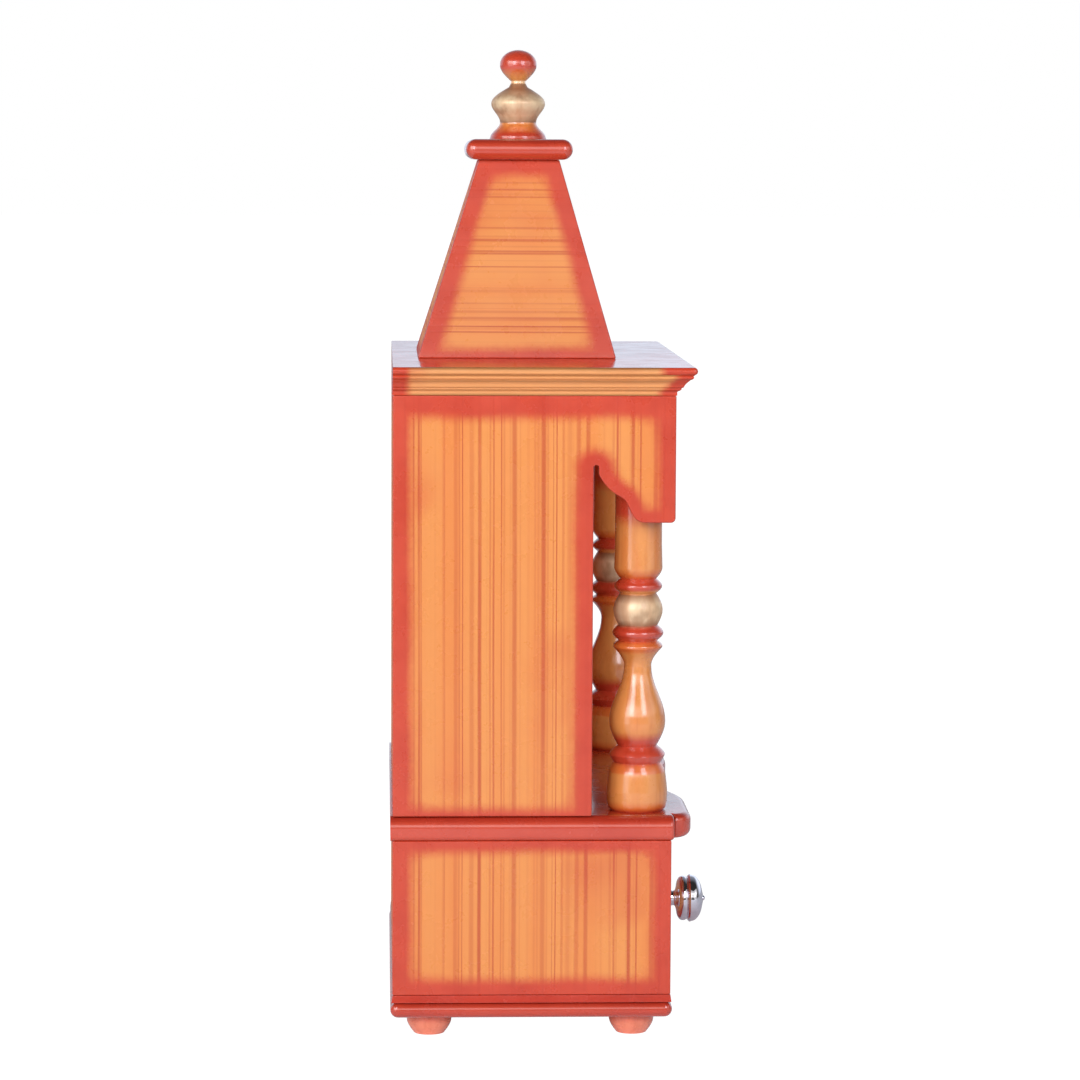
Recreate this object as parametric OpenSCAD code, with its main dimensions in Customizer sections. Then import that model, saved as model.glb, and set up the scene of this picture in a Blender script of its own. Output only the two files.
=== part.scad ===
// Household shrine (pooja mandir) in lacquered wood: a lower box with one drawer,
// an open chamber with two turned pillars and a scalloped arch, a crown cornice,
// and a pyramid tower with a turned finial.
// Millimetres, +Z up, the front faces -Y, the origin is on the ground under the middle.

/* [Body] */
// Width over the outer faces of the side panels
body_w = 312; // [270:1:380]
// Depth from the back of the side panels to the face of the front arch
body_d = 173.5; // [150:0.5:215]
// Thickness of the side panels
side_t = 12; // [8:0.5:15]
// Thickness of the back panels
back_t = 6; // [4:0.5:9]
// How far the moulded edges of base and deck stand proud of the panels
edge_out = 1.3; // [0.5:0.1:3]

/* [Feet and base] */
// Height of the bun feet
foot_h = 13; // [8:0.5:20]
// Diameter of a foot where it meets the base board
foot_d = 28; // [22:1:34]
// Diameter of the flat that a foot stands on
foot_sole_d = 19; // [12:0.5:21]
// Distance from the back of the body to the axis of the rear feet
foot_rear = 23; // [19:0.5:40]
// Distance from the front of the body to the axis of the front feet
foot_front = 24; // [19:0.5:40]
// Distance from the side of the body to the axis of a foot
foot_side = 22; // [19:0.5:40]
// Thickness of the base board with its half-round edge
base_t = 9.8; // [6:0.2:12]
// Height of the fillet strip on the base board
fillet_h = 4.8; // [3:0.2:8]
// How much wider the fillet strip is at its foot, on each side
fillet_out = 0.7; // [0.3:0.1:1]

/* [Lower box and drawer] */
// Height of the lower box panels
box_h = 96.6; // [80:0.2:140]
// How far the lower box is set back from the face of the front arch
box_setback = 1; // [0:0.5:4]
// Height of the fixed rail over the drawer
rail_h = 35; // [20:1:45]
// Thickness of the fixed rail over the drawer
rail_t = 12; // [8:0.5:16]
// Thickness of the drawer front
drawer_front_t = 10; // [8:0.5:14]
// Thickness of the drawer sides and back
drawer_wall_t = 6; // [4:0.5:9]
// Thickness of the drawer bottom
drawer_bottom_t = 3; // [2:0.5:5]
// Depth of the drawer box behind its front
drawer_depth = 136; // [100:1:140]
// How much lower the drawer walls are than the drawer front
drawer_wall_drop = 12; // [8:1:20]
// Gap round the drawer front
drawer_gap = 1.5; // [1:0.1:3]
// Running gap under the drawer and beside its guides
run_gap = 0.4; // [0.3:0.1:1]
// Width of the guide strips beside the drawer
guide_w = 8; // [5:0.5:12]
// Height of the guide strips beside the drawer
guide_h = 16; // [8:1:24]

/* [Knob] */
// Diameter of the knob
knob_d = 32; // [24:1:36]
// Distance from the drawer front to the tip of the knob
knob_out = 34; // [26:0.5:40]
// Diameter of the knob's neck
knob_neck_d = 11; // [8:0.5:14]
// Diameter of the knob's flange on the drawer front
knob_flange_d = 19; // [15:0.5:23]

/* [Deck] */
// Thickness of the deck
deck_t = 15.3; // [11:0.1:20]
// Radius of the rounded edges of the deck's side mouldings
deck_round = 5; // [2:0.2:6]
// Width of the edge moulding along each side of the deck
deck_edge_w = 11; // [8:0.5:16]
// How far the two lobes of the deck reach beyond the lower box
lobe_out = 13.3; // [6:0.1:20]
// How far the deck's middle reaches beyond the lower box
lobe_dip = 3; // [1:0.5:5]
// Distance from the middle to where a lobe starts to swell
lobe_start = 34; // [20:1:50]
// Distance from the middle to where a lobe is full
lobe_full = 86; // [60:1:110]
// Width of a lobe's rounded outer corner
lobe_corner = 16; // [8:1:22]
// Distance from the side of the body to where a lobe ends
lobe_side = 6; // [3:0.5:10]

/* [Chamber] */
// Height of the upper side panels
panel_h = 260.2; // [220:0.2:320]
// Depth of the part of a side panel that reaches down to the deck
cheek_d = 123; // [90:1:125]
// Drop of the scalloped apron below the cornice
apron_h = 78.2; // [60:0.2:100]
// Width of the straight slot at the head of the side opening
slot_w = 3.2; // [2:0.2:6]
// Height of the slot above the scallop
slot_h = 4; // [2:0.5:8]
// Radius of the scallop's long upper sweep
scallop_a_r = 30; // [20:1:36]
// Radius of the scallop's rounded crest
scallop_b_r = 9; // [5:0.5:12]
// Radius of the scallop's hollow foot
scallop_c_r = 9; // [5:0.5:12]
// Length of the straight drop between crest and foot
scallop_drop = 7; // [3:0.5:10]
// Thickness of the front arch board
arch_t = 6; // [4:0.5:8]
// Radius of the lower front corner of a side apron
apron_round = 3; // [1:0.5:6]
// Radius of the sweep from the arch's scallop to its flat head
arch_r = 30; // [15:1:45]

/* [Pillars] */
// Gap between a pillar's shaft and the side panel beside it
pillar_side_gap = 2.4; // [0.4:0.1:6]
// Gap between a pillar's shaft and the arch board in front of it
pillar_front_gap = 0.3; // [0.1:0.1:0.8]
// Diameter of a pillar's plain upper shaft
shaft_d = 29.2; // [26:0.2:34]
// Diameter of a pillar's base block
block_d = 38; // [32:0.2:40]
// Height of the turned length of a pillar, below its plain shaft
turned_h = 152; // [140:0.5:170]

/* [Cornice] */
// Reach of the cornice beyond the body
crown_out = 12.2; // [8:0.2:18]
// Height of the crown moulding under the cornice board
crown_h = 13.1; // [9:0.1:18]
// Thickness of the cornice board
cornice_t = 4.6; // [4:0.2:9]

/* [Tower] */
// Width of the tower at its foot
tower_w = 125.8; // [100:0.2:150]
// Width of the tower at its top
tower_top_w = 51.4; // [44:0.2:60]
// Height of the tower
tower_h = 125.2; // [100:0.2:160]
// Thickness of the tower boards
tower_t = 6; // [4:0.5:9]
// Distance from the back of the body to the middle of the tower's foot
tower_back = 79; // [76:0.5:95]
// How far the tower's top stands forward of the middle of its foot
tower_lean = 2.2; // [0:0.1:6]
// Width of the cap slab
cap_w = 68.4; // [62:0.2:80]
// Thickness of the cap slab
cap_t = 13.1; // [8:0.1:16]
// Height of the finial
finial_h = 57.3; // [48:0.1:72]
// Diameter of the finial's middle body
finial_d = 34.8; // [28:0.2:44]

/* [Hidden] */
$fn = 96;

half_w = body_w / 2;
box_d = body_d - box_setback;
inner_w = body_w - 2 * side_t;
// The back plane of the body, placed so that the origin is under the middle of it all
back_y = (box_d + knob_out - edge_out) / 2;

base_z = foot_h;
fillet_z = base_z + base_t;
box_z = fillet_z + fillet_h;
deck_z = box_z + box_h;
panel_z = deck_z + deck_t;
crown_z = panel_z + panel_h;
cornice_z = crown_z + crown_h;
tower_z = cornice_z + cornice_t;
cap_z = tower_z + tower_h;
finial_z = cap_z + cap_t;

drawer_w = inner_w - 2 * drawer_gap;
drawer_z = box_z + drawer_gap;
drawer_h = box_h - rail_h - 2 * drawer_gap;
drawer_wall_h = drawer_h - drawer_wall_drop;
drawer_box_w = inner_w - 2 * (guide_w + run_gap);
drawer_floor_z = box_z + run_gap;

// The pillars stand clear of the side panels and of the arch board
pillar_x = half_w - side_t - pillar_side_gap - shaft_d / 2;
pillar_d = body_d - arch_t - pillar_front_gap - shaft_d / 2;

// The scallop's steep and shallow slopes, and the room it takes
steep = 65;
shallow = 27;
scallop_run = (scallop_a_r + scallop_b_r) * (sin(steep) - sin(shallow))
    + scallop_drop * cos(steep) + scallop_c_r * sin(steep);
scallop_rise = (scallop_a_r + scallop_b_r) * (cos(shallow) - cos(steep))
    + scallop_drop * sin(steep) + scallop_c_r * (1 - cos(steep));

apron_z = crown_z - apron_h;
slot_d = cheek_d + slot_w;
deck_seat = 1.4 * edge_out;
// Distance from the back of the body to the axis of the cap and the finial
axis_d = tower_back + tower_lean;

RED = "#d2503c";
DARK_RED = "#b83c2c";
ORANGE = "#f59a56";
GOLD = "#c8a070";
CHROME = "#c8ccd0";

// A point at a given depth in front of the back plane
function y_at(depth) = back_y - depth;

// Outline helpers: each returns [radius, height] points from z0 up to z1
function bead(z0, z1, r0, r1, bulge, n = 8) =
    [for (i = [0 : n]) let (t = i / n) [r0 + (r1 - r0) * t + bulge * sin(180 * t), z0 + (z1 - z0) * t]];
function swell(z0, z1, r0, r1, n = 8) =
    [for (i = [0 : n]) [r0 + (r1 - r0) * sin(90 * i / n), z0 + (z1 - z0) * i / n]];
function taper(z0, z1, r0, r1, n = 8) =
    [for (i = [0 : n]) [r1 + (r0 - r1) * cos(90 * i / n), z0 + (z1 - z0) * i / n]];

// Curve that leaves and arrives upright, for waists and flared necks
function ogee(z0, z1, r0, r1, n = 10) =
    [for (i = [0 : n]) [r1 + (r0 - r1) * (1 + cos(180 * i / n)) / 2, z0 + (z1 - z0) * i / n]];
// Flare that leaves upright and spreads at last
function flare(z0, z1, r0, r1, n = 8) =
    [for (i = [0 : n]) [r0 + (r1 - r0) * (1 - cos(90 * i / n)), z0 + (z1 - z0) * i / n]];
// Concave sweep that rises steeply at last, from a wide foot to a neck
function cove(z0, z1, r0, r1, n = 6) =
    [for (i = [1 : n]) [r1 + (r0 - r1) * (1 - sin(90 * i / n)), z0 + (z1 - z0) * (1 - cos(90 * i / n))]];
// Rounded shoulder that ends level
function dome(z0, z1, r0, r1, n = 8) =
    [for (i = [1 : n]) [r1 + (r0 - r1) * cos(90 * i / n), z0 + (z1 - z0) * sin(90 * i / n)]];

// Points of an arc that starts at p and turns from heading a0 to heading a1
function arc(p, a0, a1, r, n = 8) =
    let (s = a1 > a0 ? r : -r)
    [for (i = [1 : n]) let (a = a0 + (a1 - a0) * i / n) p + s * [sin(a) - sin(a0), cos(a0) - cos(a)]];
function last(points) = points[len(points) - 1];

// One scallop from its head p down and out to its flat foot, as [run, height]
function scallop(p) =
    let (sweep = arc(p, -steep, -shallow, scallop_a_r),
         crest = arc(last(sweep), -shallow, -steep, scallop_b_r),
         drop = last(crest) + scallop_drop * [cos(steep), -sin(steep)],
         foot = arc(drop, -steep, 0, scallop_c_r))
    concat([p], sweep, crest, [drop], foot);

module slab(x0, x1, d0, d1, z0, h) {
    translate([x0, y_at(d1), z0])
        cube([x1 - x0, d1 - d0, h]);
}

// Puts a right-hand piece on the right (side 1) or its mirror image on the left (side -1)
module on_side(side) {
    if (side < 0) mirror([1, 0, 0]) children();
    else children();
}

// A board whose four edges are half-round
module half_round_board(x0, x1, d0, d1, z0, t) {
    r = t / 2;
    slab(x0 + r, x1 - r, d0 + r, d1 - r, z0, t);
    for (x = [x0 + r, x1 - r])
        translate([x, y_at(d0 + r), z0 + r])
            rotate([90, 0, 0])
                cylinder(r = r, h = d1 - d0 - 2 * r);
    for (d = [d0 + r, d1 - r])
        translate([x0 + r, y_at(d), z0 + r])
            rotate([0, 90, 0])
                cylinder(r = r, h = x1 - x0 - 2 * r);
    for (x = [x0 + r, x1 - r], d = [d0 + r, d1 - r])
        translate([x, y_at(d), z0 + r])
            sphere(r = r);
}

// Feet and base

module foot(side, depth) {
    color(RED)
        translate([side * (half_w - foot_side), y_at(depth), 0])
            rotate_extrude()
                polygon(concat([[0, 0]],
                    swell(0, foot_h * 0.7, foot_sole_d / 2, foot_d / 2),
                    [[foot_d / 2, foot_h], [0, foot_h]]));
}

module foot_front_left() { foot(-1, body_d - foot_front); }
module foot_front_right() { foot(1, body_d - foot_front); }
module foot_rear_left() { foot(-1, foot_rear); }
module foot_rear_right() { foot(1, foot_rear); }

module base_board() {
    color(RED)
        half_round_board(-half_w - edge_out, half_w + edge_out,
            -edge_out, box_d + edge_out, base_z, base_t);
}

// Flat-topped strip whose four faces lean outwards to its foot
module base_fillet() {
    w = half_w + fillet_out;
    d = box_d + fillet_out;
    color(DARK_RED)
        intersection() {
            translate([0, y_at(-fillet_out), fillet_z])
                rotate([90, 0, 0])
                    linear_extrude(box_d + 2 * fillet_out)
                        polygon([[-w, 0], [w, 0], [half_w, fillet_h], [-half_w, fillet_h]]);
            translate([-w, back_y, fillet_z])
                rotate([90, 0, 90])
                    linear_extrude(2 * w)
                        polygon([[fillet_out, 0], [0, fillet_h], [-box_d, fillet_h], [-d, 0]]);
        }
}

// Lower box

module box_side(side) {
    color(ORANGE)
        on_side(side)
            slab(half_w - side_t, half_w, 0, box_d, box_z, box_h);
}

module box_side_left() { box_side(-1); }
module box_side_right() { box_side(1); }

module box_back() {
    color(ORANGE)
        slab(-inner_w / 2, inner_w / 2, 0, back_t, box_z, box_h);
}

module box_rail() {
    color(ORANGE)
        slab(-inner_w / 2, inner_w / 2, box_d - rail_t, box_d, deck_z - rail_h, rail_h);
}

module drawer_guide(side) {
    color(DARK_RED)
        on_side(side)
            slab(inner_w / 2 - guide_w, inner_w / 2, back_t, box_d - drawer_front_t - drawer_gap,
                box_z, guide_h);
}

module drawer_guide_left() { drawer_guide(-1); }
module drawer_guide_right() { drawer_guide(1); }

// Drawer

drawer_back_d = box_d - drawer_front_t - drawer_depth;
drawer_wall_z = drawer_floor_z + drawer_bottom_t;
drawer_wall_net = drawer_z + drawer_wall_h - drawer_wall_z;

module drawer_front() {
    color(ORANGE)
        slab(-drawer_w / 2, drawer_w / 2, box_d - drawer_front_t, box_d, drawer_z, drawer_h);
}

module drawer_side(side) {
    color(ORANGE)
        on_side(side)
            slab(drawer_box_w / 2 - drawer_wall_t, drawer_box_w / 2,
                drawer_back_d, box_d - drawer_front_t, drawer_wall_z, drawer_wall_net);
}

module drawer_side_left() { drawer_side(-1); }
module drawer_side_right() { drawer_side(1); }

module drawer_back() {
    color(ORANGE)
        slab(-drawer_box_w / 2 + drawer_wall_t, drawer_box_w / 2 - drawer_wall_t,
            drawer_back_d, drawer_back_d + drawer_wall_t, drawer_wall_z, drawer_wall_net);
}

module drawer_bottom() {
    color(ORANGE)
        slab(-drawer_box_w / 2, drawer_box_w / 2,
            drawer_back_d, box_d - drawer_front_t, drawer_floor_z, drawer_bottom_t);
}

// Turned outline of the knob: flange, stem, bulging back, groove, dome and nub
function knob_outline() =
    let (k = knob_out / 34, r = knob_d / 2, neck = knob_neck_d / 2, flange = knob_flange_d / 2)
    concat(
        [[0, 0], [flange, 0], [flange, 1.5 * k]],
        cove(1.5 * k, 6 * k, flange, neck),
        flare(10.5 * k, 14.3 * k, neck, r * 0.5),
        swell(14.6 * k, 18.8 * k, r * 0.52, r - 1.1),
        [[r - 1.6, 20.6 * k], [r - 2.8, 21.4 * k], [r - 2.8, 21.8 * k], [r - 0.3, 22.5 * k]],
        taper(23.6 * k, 32.4 * k, r, 2.4),
        [[2.2, 33.4 * k], [1.3, 34 * k], [0, 34 * k]]);

module drawer_knob() {
    color(CHROME)
        translate([0, y_at(box_d), drawer_z + drawer_h / 2])
            rotate([90, 0, 0])
                rotate_extrude()
                    polygon(knob_outline());
}

// Deck

// Reach of the deck's front edge beyond the lower box at a distance from the middle
function deck_reach(x) =
    let (t = min(1, max(0, (x - lobe_start) / (lobe_full - lobe_start))))
    lobe_dip + (lobe_out - lobe_dip) * (1 - cos(180 * t)) / 2;

// Right half of the deck's front edge, from the middle to where the edge moulding ends
function deck_front_half() =
    let (corner = half_w - lobe_side - lobe_corner)
    concat([[0, box_d + lobe_dip]],
        [for (t = [0 : 12]) let (x = lobe_start + (lobe_full - lobe_start) * t / 12)
            [x, box_d + deck_reach(x)]],
        [for (a = [0 : 7.5 : 90])
            [corner + lobe_corner * sin(a), box_d + deck_seat + (lobe_out - deck_seat) * cos(a)]]);

module deck_board() {
    front = deck_front_half();
    side = half_w - deck_edge_w;
    outline = concat([[0, -edge_out], [side, -edge_out], [side, box_d + deck_seat]],
        [for (i = [len(front) - 1 : -1 : 0]) front[i]]);
    color(RED)
        for (s = [-1, 1])
            on_side(s)
                translate([0, back_y, deck_z])
                    linear_extrude(deck_t)
                        polygon([for (p = outline) [p[0], -p[1]]]);
}

// Strip along the side of the deck, rounded on its outer side and at both ends
module deck_edge(side) {
    r = deck_round;
    x0 = half_w - deck_edge_w;
    x1 = half_w + edge_out;
    d0 = -edge_out;
    d1 = box_d + deck_seat;
    z1 = deck_z + deck_t;
    color(RED)
        on_side(side) {
            slab(x0, x1 - r, d0 + r, d1 - r, deck_z, deck_t);
            slab(x0, x1, d0 + r, d1 - r, deck_z + r, deck_t - 2 * r);
            slab(x0, x1 - r, d0, d1, deck_z + r, deck_t - 2 * r);
            for (d = [d0 + r, d1 - r])
                translate([x1 - r, y_at(d), deck_z + r])
                    cylinder(r = r, h = deck_t - 2 * r);
            for (z = [deck_z + r, z1 - r])
                translate([x1 - r, y_at(d0 + r), z])
                    rotate([90, 0, 0])
                        cylinder(r = r, h = d1 - d0 - 2 * r);
            for (z = [deck_z + r, z1 - r], d = [d0 + r, d1 - r])
                translate([x0, y_at(d), z])
                    rotate([0, 90, 0])
                        cylinder(r = r, h = x1 - r - x0);
            for (z = [deck_z + r, z1 - r], d = [d0 + r, d1 - r])
                translate([x1 - r, y_at(d), z])
                    sphere(r = r);
        }
}

module deck_edge_left() { deck_edge(-1); }
module deck_edge_right() { deck_edge(1); }

// Chamber

// Outline of a side panel as [depth, height above the deck]
function side_panel_outline() =
    let (low = apron_z - panel_z, head = low + scallop_rise, slot_top = head + slot_h)
    concat([[0, 0], [cheek_d, 0], [cheek_d, slot_top]],
        arc([cheek_d, slot_top], 90, -90, slot_w / 2),
        scallop([slot_d, head]),
        [[body_d - apron_round, low]],
        arc([body_d - apron_round, low], 0, 90, apron_round),
        [[body_d, panel_h], [0, panel_h]]);

module side_panel(side) {
    color(ORANGE)
        on_side(side)
            translate([half_w - side_t, back_y, panel_z])
                rotate([90, 0, 90])
                    linear_extrude(side_t)
                        polygon([for (p = side_panel_outline()) [-p[0], p[1]]]);
}

module side_panel_left() { side_panel(-1); }
module side_panel_right() { side_panel(1); }

module back_panel() {
    color(ORANGE)
        slab(-inner_w / 2, inner_w / 2, 0, back_t, panel_z, panel_h);
}

// The arch board stands between the side panels, flush with their front edges.
// Right half of the opening under it as [distance from the middle, height]:
// the flat head, a sweep down to the scallop, and the scallop that ends beside the pillar
function arch_opening_half() =
    let (low = apron_z, x = pillar_x - block_d / 2 - scallop_run,
         head = [x - arch_r * sin(steep), low + scallop_rise + arch_r * (1 - cos(steep))],
         sweep = arc(head, 0, -steep, arch_r))
    concat([[0, low - 1], [0, head[1]], head], sweep, scallop(last(sweep)), [[x + scallop_run, low - 1]]);

module front_arch() {
    color(ORANGE)
        translate([0, y_at(body_d - arch_t), 0])
            rotate([90, 0, 0])
                linear_extrude(arch_t)
                    difference() {
                        translate([-inner_w / 2, apron_z])
                            square([inner_w, apron_h]);
                        for (s = [-1, 1])
                            polygon([for (p = arch_opening_half()) [s * p[0], p[1]]]);
                    }
}

// Pillars

// Turned outline of a pillar, from the deck up to its plain shaft:
// block, ring, vase, two rings, ball, ring and the swelling foot of the shaft
function pillar_outline() =
    let (u = turned_h / 152, s = shaft_d / 2, b = block_d / 2, groove = s - 2.4, waist = s - 3.3)
    concat(
        [[0, 0], [b - 2.5, 0], [b - 1, 1.5 * u], [b - 0.2, 5 * u]],
        taper(12 * u, 28.9 * u, b, s + 0.7),
        bead(29 * u, 40.3 * u, s + 0.6, groove, 3.8),
        swell(40.5 * u, 55.5 * u, groove, s + 2.9),
        ogee(55.7 * u, 90 * u, s + 2.9, s - 6.1),
        flare(90.4 * u, 101 * u, s - 6.1, s - 0.2),
        swell(101.1 * u, 102.4 * u, s - 0.1, s + 0.7, 3),
        taper(102.8 * u, 106.1 * u, s + 0.7, groove),
        bead(106.3 * u, 115.7 * u, groove, groove, 3.7),
        bead(115.9 * u, 135.6 * u, groove, waist, 3.6),
        bead(135.8 * u, 144.7 * u, waist, waist, 3.6),
        swell(144.9 * u, 152 * u, waist, s + 0.45),
        [[s, 166 * u]]);

module pillar(side) {
    color(ORANGE)
        translate([side * pillar_x, y_at(pillar_d), panel_z])
            rotate_extrude()
                polygon(concat(pillar_outline(), [[shaft_d / 2, panel_h], [0, panel_h]]));
}

module pillar_left() { pillar(-1); }
module pillar_right() { pillar(1); }

// Cornice

module ceiling_board() {
    color(ORANGE)
        slab(-half_w, half_w, 0, body_d, crown_z, crown_h);
}

// Section of the crown moulding as [reach, height]: fascia, fine bead, cove and bead
function crown_section() =
    let (k = crown_out / 12.2, h = crown_h / 13.1)
    [for (p = concat(
        [[0, 0], [0.3, 0], [0.3, 2.2], [0.9, 2.8]],
        bead(3, 4.6, 1.5, 2.7, 0.5),
        [[3, 4.9]],
        bead(5.2, 9.5, 3.9, 7.4, -0.5),
        [[7.6, 9.9]],
        bead(10.1, 12.3, 8.3, 9.5, 0.9),
        [[9.9, 12.7], [10.4, 13.1], [0, 13.1]])) [p[0] * k, p[1] * h]];

module crown_front() {
    color(ORANGE)
        intersection() {
            translate([-body_w, y_at(body_d), crown_z])
                rotate([90, 0, 90])
                    linear_extrude(2 * body_w)
                        polygon([for (p = crown_section()) [-p[0], p[1]]]);
            translate([0, y_at(body_d), crown_z - 1])
                linear_extrude(crown_h + 2)
                    polygon([[-half_w, 0], [-half_w - 50, -50], [half_w + 50, -50], [half_w, 0]]);
        }
}

module crown_side(side) {
    color(ORANGE)
        on_side(side)
            intersection() {
                translate([half_w, back_y, crown_z])
                    rotate([90, 0, 0])
                        linear_extrude(body_d + 50)
                            polygon(crown_section());
                translate([half_w, y_at(body_d), crown_z - 1])
                    linear_extrude(crown_h + 2)
                        polygon([[0, 0], [50, -50], [50, body_d + 1], [0, body_d + 1]]);
            }
}

module crown_left() { crown_side(-1); }
module crown_right() { crown_side(1); }

module cornice_board() {
    r = cornice_t / 2;
    x1 = half_w + crown_out - r;
    d1 = body_d + crown_out - r;
    z = cornice_z + r;
    color(RED)
        for (s = [-1, 1])
            on_side(s) {
                slab(0, x1, 0, d1, cornice_z, cornice_t);
                translate([x1, back_y, z])
                    rotate([90, 0, 0])
                        cylinder(r = r, h = d1);
                translate([0, y_at(d1), z])
                    rotate([0, 90, 0])
                        cylinder(r = r, h = x1);
                translate([x1, y_at(d1), z])
                    sphere(r = r);
            }
}

// Tower

// Depths of the tower's back and front faces at its foot and at its top
tower_foot_d = [tower_back - tower_w / 2, tower_back + tower_w / 2];
tower_top_d = [axis_d - tower_top_w / 2, axis_d + tower_top_w / 2];

// Thickness of a leaning board measured level
function level_t(run) = tower_t * sqrt(pow(tower_h, 2) + pow(run, 2)) / tower_h;
tower_side_t = level_t((tower_w - tower_top_w) / 2);

// Leaning section of a board from its outer foot a to its outer head b, as [distance, height]
function leaning(a, b, t) = [[a - t, 0], [a, 0], [b, tower_h], [b - t, tower_h]];

// Extrudes an outline drawn as [distance from the middle, height] from back to front
module from_back_to_front() {
    translate([0, back_y, tower_z])
        rotate([90, 0, 0])
            linear_extrude(body_d)
                children();
}

// Extrudes an outline drawn as [depth, height] across the whole width
module across() {
    translate([half_w, back_y, tower_z])
        rotate([90, 0, -90])
            linear_extrude(body_w)
                children();
}

// The side boards run over the edges of the front and back ones
module tower_side(side) {
    color(ORANGE)
        on_side(side)
            intersection() {
                from_back_to_front()
                    polygon(leaning(tower_w / 2, tower_top_w / 2, tower_side_t));
                across()
                    polygon([[tower_foot_d[0], 0], [tower_foot_d[1], 0],
                             [tower_top_d[1], tower_h], [tower_top_d[0], tower_h]]);
            }
}

// Board that leans along the depth, narrower by the thickness of both side boards
module tower_end(section) {
    foot_w = tower_w / 2 - tower_side_t;
    top_w = tower_top_w / 2 - tower_side_t;
    color(ORANGE)
        intersection() {
            across()
                polygon(section);
            from_back_to_front()
                polygon([[-foot_w, 0], [foot_w, 0], [top_w, tower_h], [-top_w, tower_h]]);
        }
}

module tower_left() { tower_side(-1); }
module tower_right() { tower_side(1); }

module tower_front() {
    t = level_t(tower_foot_d[1] - tower_top_d[1]);
    tower_end(leaning(tower_foot_d[1], tower_top_d[1], t));
}

module tower_back() {
    t = level_t(tower_top_d[0] - tower_foot_d[0]);
    tower_end(leaning(tower_foot_d[0], tower_top_d[0], -t));
}

module tower_cap() {
    color(RED)
        half_round_board(-cap_w / 2, cap_w / 2, axis_d - cap_w / 2, axis_d + cap_w / 2, cap_z, cap_t);
}

// Turned outline of the finial: spread foot, waist, body, neck and ball
function finial_outline() =
    let (k = finial_h / 57.3, r = finial_d / 2, waist = r - 5.7, neck = 4.7, ball = 11.9)
    concat([[0, 0], [r + 0.9, 0], [r + 0.9, 0.8 * k]],
        ogee(1 * k, 10.7 * k, r + 0.6, waist),
        ogee(10.9 * k, 22.8 * k, waist, r),
        taper(23 * k, 33.4 * k, r, neck + 1.3),
        [[neck, 36 * k], [neck, 37.2 * k]],
        swell(37.4 * k, 47.6 * k, neck + 0.3, ball),
        dome(47.9 * k, finial_h, ball, 0));

module finial() {
    color(GOLD)
        translate([0, y_at(axis_d), finial_z])
            rotate_extrude()
                polygon(finial_outline());
}

foot_front_left();
foot_front_right();
foot_rear_left();
foot_rear_right();
base_board();
base_fillet();
box_side_left();
box_side_right();
box_back();
box_rail();
drawer_guide_left();
drawer_guide_right();
drawer_front();
drawer_side_left();
drawer_side_right();
drawer_back();
drawer_bottom();
drawer_knob();
deck_board();
deck_edge_left();
deck_edge_right();
side_panel_left();
side_panel_right();
back_panel();
front_arch();
pillar_left();
pillar_right();
ceiling_board();
crown_front();
crown_left();
crown_right();
cornice_board();
tower_front();
tower_back();
tower_left();
tower_right();
tower_cap();
finial();
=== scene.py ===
# %% [markdown]
# # A lacquered household shrine
# A small wooden shrine stands on four bun feet: a lower box with one drawer, an open chamber
# with turned pillars and a scalloped front, a crown cornice, and a pyramid tower with a finial.
# Its shape is already exact in the frame that is loaded first. What is left to make is what a
# joiner and a sprayer add: eased edges, round mouldings, turned wood, veneer grain, and the
# red lacquer that is sprayed round the edges of every orange panel.
#
# The frame has to be loaded before anything else, because every place below is read from it.

# %% Load the frame
import math

import bpy
import numpy as np
from mathutils import Matrix, Vector


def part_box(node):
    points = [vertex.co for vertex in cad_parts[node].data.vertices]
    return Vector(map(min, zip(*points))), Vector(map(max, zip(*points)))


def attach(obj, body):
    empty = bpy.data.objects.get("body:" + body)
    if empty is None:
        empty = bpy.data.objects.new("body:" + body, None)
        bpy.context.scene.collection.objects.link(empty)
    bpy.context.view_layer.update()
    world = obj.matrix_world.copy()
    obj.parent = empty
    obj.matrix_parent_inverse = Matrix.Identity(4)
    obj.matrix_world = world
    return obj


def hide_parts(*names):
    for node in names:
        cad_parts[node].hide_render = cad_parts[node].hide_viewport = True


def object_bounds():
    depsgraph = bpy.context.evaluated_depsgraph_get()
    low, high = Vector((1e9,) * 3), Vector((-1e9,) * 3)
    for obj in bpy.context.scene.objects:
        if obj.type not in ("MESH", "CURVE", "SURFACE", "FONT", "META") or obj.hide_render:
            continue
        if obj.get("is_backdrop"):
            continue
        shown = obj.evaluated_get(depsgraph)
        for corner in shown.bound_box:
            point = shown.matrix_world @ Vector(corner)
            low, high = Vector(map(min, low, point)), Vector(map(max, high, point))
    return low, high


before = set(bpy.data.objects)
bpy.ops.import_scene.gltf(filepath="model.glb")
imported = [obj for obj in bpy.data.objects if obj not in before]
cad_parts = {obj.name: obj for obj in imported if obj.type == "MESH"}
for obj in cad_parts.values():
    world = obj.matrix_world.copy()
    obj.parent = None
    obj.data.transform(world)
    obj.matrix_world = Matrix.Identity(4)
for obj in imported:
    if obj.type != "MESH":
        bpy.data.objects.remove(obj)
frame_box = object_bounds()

bpy.ops.object.select_all(action="DESELECT")
print("solids in the frame:", len(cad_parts))
print("frame box in metres:", [round(v, 4) for v in (*frame_box[0], *frame_box[1])])

# %% [markdown]
# ## The workbench
# One helper selects a single piece, one opens it for editing and one closes it again, so that an
# operator never works on a piece by accident. The last one starts a board as a cube stretched to
# the size of its solid in the frame. Its place goes into its mesh at once, because patterns on
# Object coordinates would slide if the object itself were moved.

# %% Select, open, close and start a piece
MM = 0.001


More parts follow.
